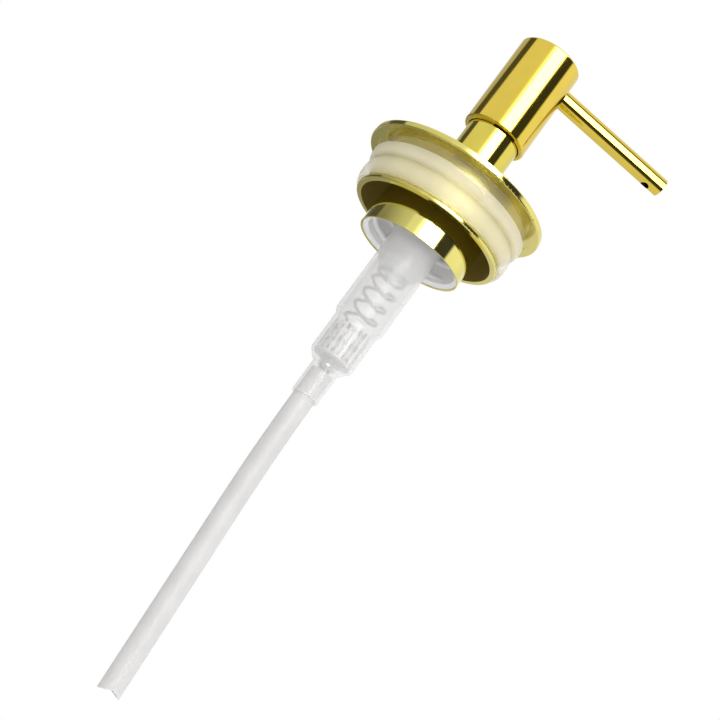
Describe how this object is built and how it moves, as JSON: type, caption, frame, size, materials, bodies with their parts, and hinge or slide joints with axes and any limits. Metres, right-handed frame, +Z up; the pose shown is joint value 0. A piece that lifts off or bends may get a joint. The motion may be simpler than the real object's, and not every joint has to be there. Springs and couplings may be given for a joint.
{
  "type": "soap pump dispenser",
  "caption": "Lotion pump with a round push head and straight spout, on a flanged lid whose soft plug ring closes a jar's mouth, with a spring pump and dip tube below.",
  "frame": {"origin": "on the pump's axis, in the plane of the flange's flat underside, which rests on the jar's rim", "axes": "+Z runs up the pump's axis to the push head, +X points along the spout, +Y is across it"},
  "size_m": [0.0712, 0.0516, 0.1974],
  "materials": {
    "gold_plate": "polished gold plating",
    "silicone": "translucent, satin",
    "white_plastic": "moulded, satin",
    "gasket_foam": "soft foamed, matte",
    "frosted_plastic": "translucent, moulded",
    "natural_plastic": "translucent white, moulded",
    "tube_plastic": "translucent, extruded",
    "spring_steel": "drawn wire",
    "ball_steel": "ground and polished"
  },
  "bodies": {
    "base": {"lid_plate": "gold_plate", "lid_seal": "silicone", "neck_collar": "gold_plate", "closure_shell": "gold_plate", "closure_liner": "white_plastic", "neck_gasket": "gasket_foam", "pump_housing": "frosted_plastic", "ball_cage": "natural_plastic", "dip_tube": "tube_plastic", "spring": "spring_steel", "stem_guide": "natural_plastic"},
    "piston_slide": {"piston": "natural_plastic"},
    "push_head": {"stem": "natural_plastic", "piston_seat": "natural_plastic", "head_shell": "gold_plate", "head_insert": "white_plastic", "spout_tube": "gold_plate", "spout_plug": "gold_plate"},
    "inlet_valve": {"inlet_ball": "ball_steel"},
    "outlet_valve": {"outlet_ball": "ball_steel"}
  },
  "joints": [
    {"name": "press", "type": "slide", "parent": "base", "child": "piston_slide", "axis": [0, 0, -1], "range_m": [0, 0.015], "stiffness_N_per_m": 600, "springref_m": -0.008, "deforming": ["spring"]},
    {"name": "head_swivel", "type": "hinge", "parent": "piston_slide", "child": "push_head", "pos_m": [0, 0, 0], "axis": [0, 0, 1], "continuous": true},
    {"name": "inlet_lift", "type": "slide", "parent": "base", "child": "inlet_valve", "axis": [0, 0, 1], "range_m": [0, 0.001]},
    {"name": "outlet_lift", "type": "slide", "parent": "push_head", "child": "outlet_valve", "axis": [0, 0, 1], "range_m": [0, 0.001]}
  ]
}
